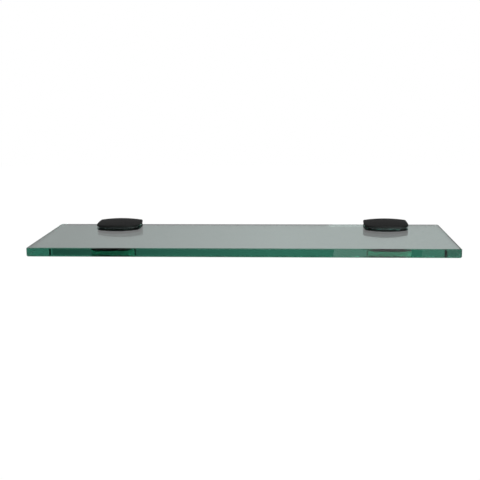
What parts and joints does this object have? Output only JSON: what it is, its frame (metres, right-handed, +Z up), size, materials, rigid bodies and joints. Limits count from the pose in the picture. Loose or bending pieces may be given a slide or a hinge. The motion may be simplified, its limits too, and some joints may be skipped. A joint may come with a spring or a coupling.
{
  "type": "wall shelf",
  "caption": "Rectangular clear glass wall shelf, clamped at its rear edge by a pair of black brackets with domed jaws that screw to the wall.",
  "frame": {"origin": "on the wall, in the middle of the pattern of four wall screws, midway between the brackets", "axes": "+X to the right along the wall, +Y into the wall, +Z up; the shelf's front edge faces -Y"},
  "size_m": [0.4572, 0.1974, 0.0311],
  "materials": {
    "clear_glass": "clear float glass, polished edges",
    "black_casting": "satin black powder coat on zinc",
    "black_pad": "matte silicone rubber",
    "milky_pad": "milky translucent silicone rubber",
    "plated_steel": "zinc plated steel",
    "black_steel": "black oxide steel",
    "yellow_steel": "yellow passivated steel"
  },
  "bodies": {
    "wall_frame": {"left_bracket_body": "black_casting", "left_upper_pad": "black_pad", "left_rear_bumper": "milky_pad", "left_wall_plate": "plated_steel", "left_wall_screws": "yellow_steel", "left_lock_screw": "black_steel", "right_bracket_body": "black_casting", "right_upper_pad": "black_pad", "right_rear_bumper": "milky_pad", "right_wall_plate": "plated_steel", "right_wall_screws": "yellow_steel", "right_lock_screw": "black_steel"},
    "glass": {"glass_panel": "clear_glass"},
    "left_jaw": {"left_pressure_plate": "plated_steel", "left_lower_pad": "black_pad"},
    "left_screw": {"left_clamp_screw": "black_steel", "left_retaining_ring": "plated_steel"},
    "right_jaw": {"right_pressure_plate": "plated_steel", "right_lower_pad": "black_pad"},
    "right_screw": {"right_clamp_screw": "black_steel", "right_retaining_ring": "plated_steel"}
  },
  "joints": [
    {"name": "glass_slide", "type": "slide", "parent": "wall_frame", "child": "glass", "axis": [0, -1, 0], "range_m": [0, 0.033]},
    {"name": "left_clamp_open", "type": "slide", "parent": "wall_frame", "child": "left_jaw", "axis": [0, 0, -1], "range_m": [0, 0.003]},
    {"name": "left_screw_turn", "type": "hinge", "parent": "left_jaw", "child": "left_screw", "pos_m": [-0.16, -0.0205, -0.0086], "axis": [0, 0, -1], "range_deg": [0, 1350]},
    {"name": "right_clamp_open", "type": "slide", "parent": "wall_frame", "child": "right_jaw", "axis": [0, 0, -1], "range_m": [0, 0.003]},
    {"name": "right_screw_turn", "type": "hinge", "parent": "right_jaw", "child": "right_screw", "pos_m": [0.16, -0.0205, -0.0086], "axis": [0, 0, -1], "range_deg": [0, 1350]}
  ],
  "couplings": [
    {"joint": "left_screw_turn", "follows": "left_clamp_open", "rad_per_m": 7853.9},
    {"joint": "right_screw_turn", "follows": "right_clamp_open", "rad_per_m": 7853.9}
  ]
}
